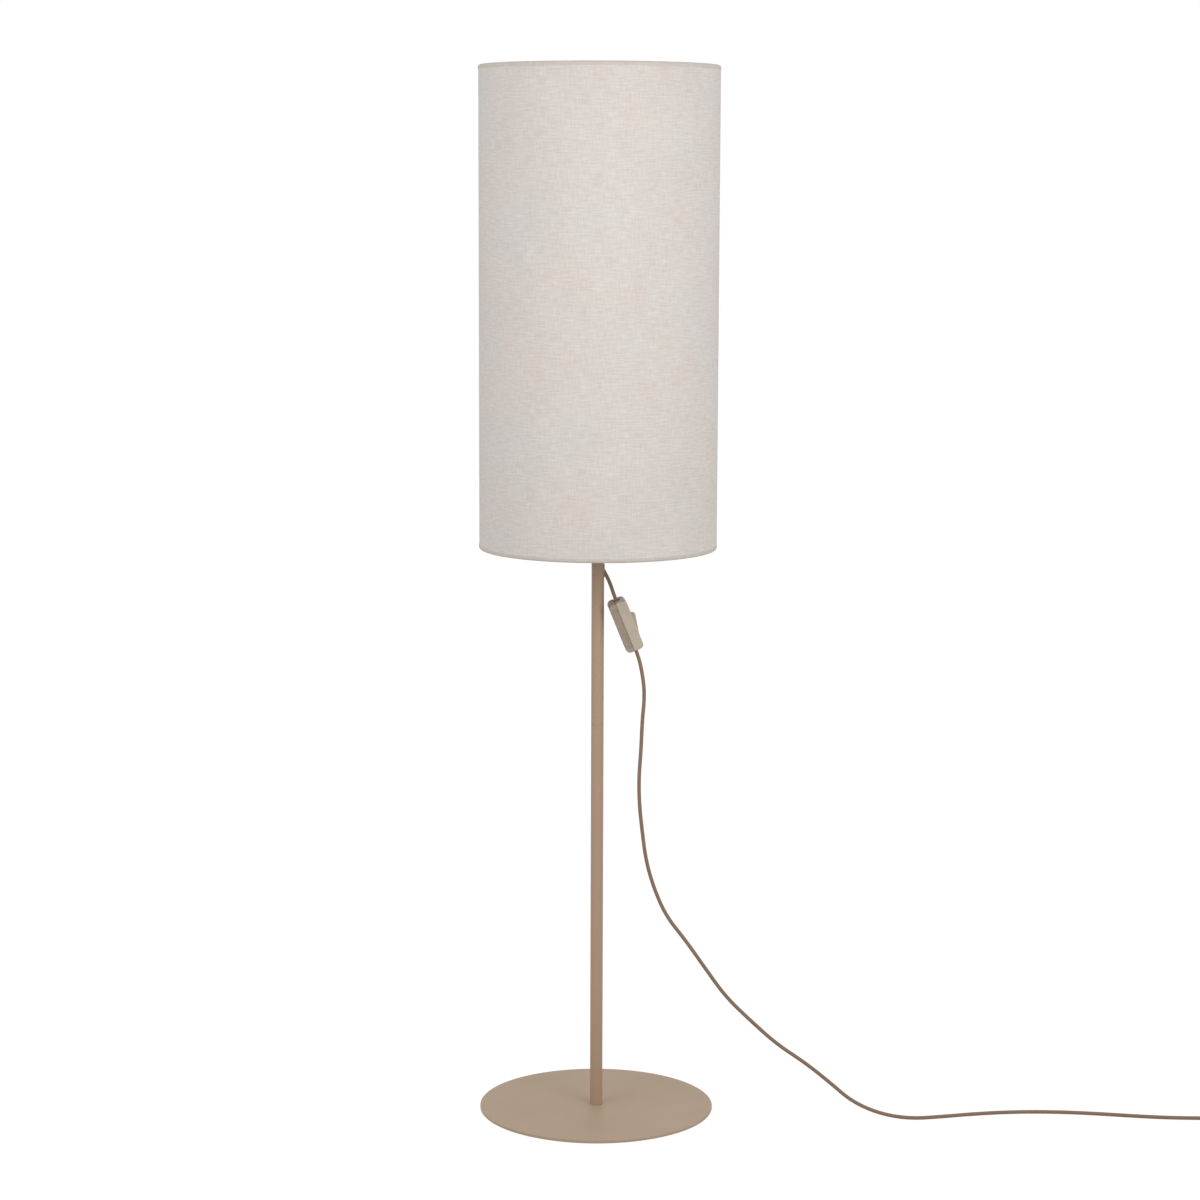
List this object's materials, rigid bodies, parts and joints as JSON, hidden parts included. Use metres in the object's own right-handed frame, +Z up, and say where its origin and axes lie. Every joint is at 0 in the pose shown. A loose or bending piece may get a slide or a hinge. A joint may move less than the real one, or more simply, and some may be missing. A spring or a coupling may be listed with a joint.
{
  "type": "column floor lamp",
  "caption": "Tall floor lamp: a long fabric cylinder shade on a thin upright pole with a flat round base, and a rocker switch on its cord.",
  "frame": {"origin": "centre of the underside of the round base", "axes": "+Z up along the pole, +X towards the side where the cord leaves the pole, -Y towards the front"},
  "size_m": [1.0375, 0.3, 1.33],
  "materials": {
    "coated_steel": "matt beige powder coat",
    "zinc_steel": "zinc plated",
    "felt_pad": "matt foam",
    "grommet_plastic": "matt",
    "cord_jacket": "satin beige sheath",
    "holder_plastic": "smooth white",
    "porcelain": "unglazed white ceramic",
    "contact_brass": "plain",
    "lead_insulation": "satin",
    "white_wire": "white coated wire",
    "shade_linen": "linen weave on a laminate",
    "trim_tape": "woven tape",
    "bulb_insulation": "dark glassy insulator",
    "bulb_cap_metal": "plain",
    "bulb_housing_plastic": "matt white",
    "opal_dome": "opal diffuser",
    "switch_plastic": "fine satin",
    "clamp_plastic": "natural",
    "tie_plastic": "matt",
    "plug_plastic": "satin beige",
    "plug_pin_metal": "nickel plated",
    "sleeve_plastic": "satin beige"
  },
  "bodies": {
    "lamp": {"base_pad": "felt_pad", "base_plate": "coated_steel", "base_screw": "zinc_steel", "bottom_hoop": "white_wire", "bottom_trim": "trim_tape", "carrier_arms": "white_wire", "centre_contact": "contact_brass", "contact_core": "porcelain", "cord_coil": "cord_jacket", "cord_grommet": "grommet_plastic", "cord_lower": "cord_jacket", "cord_tie": "tie_plastic", "cord_upper": "cord_jacket", "fitter_plate": "white_wire", "foot_bush": "zinc_steel", "holder_body": "holder_plastic", "holder_cap": "holder_plastic", "holder_leads": "lead_insulation", "holder_terminal_screws": "contact_brass", "hollow_nipple": "zinc_steel", "inner_cord": "cord_jacket", "joint_stud": "zinc_steel", "lower_joint_bush": "zinc_steel", "lower_tube": "coated_steel", "plug_body": "plug_plastic", "plug_pin_sleeves": "sleeve_plastic", "plug_pins": "plug_pin_metal", "plug_strain_relief": "plug_plastic", "shade_skin": "shade_linen", "switch_back_shell": "switch_plastic", "switch_clamp_screws": "zinc_steel", "switch_contacts": "contact_brass", "switch_cord_clamps": "clamp_plastic", "switch_front_shell": "switch_plastic", "switch_leads": "lead_insulation", "switch_shell_screws": "zinc_steel", "switch_terminal_screws": "zinc_steel", "switch_terminals": "contact_brass", "top_bush": "zinc_steel", "top_hoop": "white_wire", "top_trim": "trim_tape", "upper_joint_bush": "zinc_steel", "upper_tube": "coated_steel"},
    "rocker": {"switch_rocker": "switch_plastic"},
    "ring": {"shade_ring": "holder_plastic"},
    "bulb": {"bulb_tip": "contact_brass", "bulb_insulator": "bulb_insulation", "bulb_cap": "bulb_cap_metal", "bulb_housing": "bulb_housing_plastic", "bulb_dome": "opal_dome"}
  },
  "joints": [
    {"name": "rocker_tilt", "type": "hinge", "parent": "lamp", "child": "rocker", "pos_m": [0.0438, 0.00016, 0.63159], "axis": [0.1161, -0.9879, -0.1032], "range_deg": [0, 21]},
    {"name": "shade_ring_turn", "type": "hinge", "parent": "lamp", "child": "ring", "pos_m": [0, 0, 1.0326], "axis": [0, 0, 1], "range_deg": [0, 1080]},
    {"name": "bulb_turn", "type": "hinge", "parent": "lamp", "child": "bulb", "pos_m": [0, 0, 1.055], "axis": [0, 0, 1], "range_deg": [0, 1080]}
  ]
}
